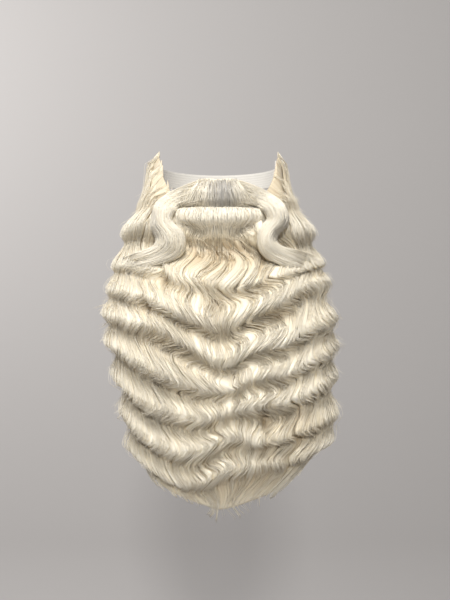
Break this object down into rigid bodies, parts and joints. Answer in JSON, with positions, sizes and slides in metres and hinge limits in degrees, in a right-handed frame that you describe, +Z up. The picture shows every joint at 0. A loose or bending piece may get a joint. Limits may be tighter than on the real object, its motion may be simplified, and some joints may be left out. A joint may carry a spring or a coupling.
{
  "type": "fake beard with moustache",
  "caption": "Long wavy false beard in overlapping tiers with an S-shaped moustache, on a net chin cup with a head elastic.",
  "frame": {"origin": "chin seat: the foremost low point of the net cup's inner face, where the wearer's chin rests", "axes": "+Z up along the wearer's face, the beard faces -Y, +X is the wearer's left, to the right seen from the front"},
  "size_m": [0.2666, 0.2608, 0.3957],
  "materials": {
    "net": "fine knotted net, matt, skin-beige",
    "elastic": "flat knitted elastic, matt off-white",
    "hair": "long waved cream hair with a soft silky gloss",
    "moustache_hair": "combed cream-white hair with a soft gloss, greyer at the parting"
  },
  "bodies": {
    "root": {"chin_base": "net", "lip_base": "net", "head_elastic": "elastic", "lip_roll": "hair", "chin_hair": "hair", "cheek_hair_left": "hair", "cheek_hair_right": "hair", "moustache_left": "moustache_hair", "moustache_right": "moustache_hair"}
  },
  "joints": []
}
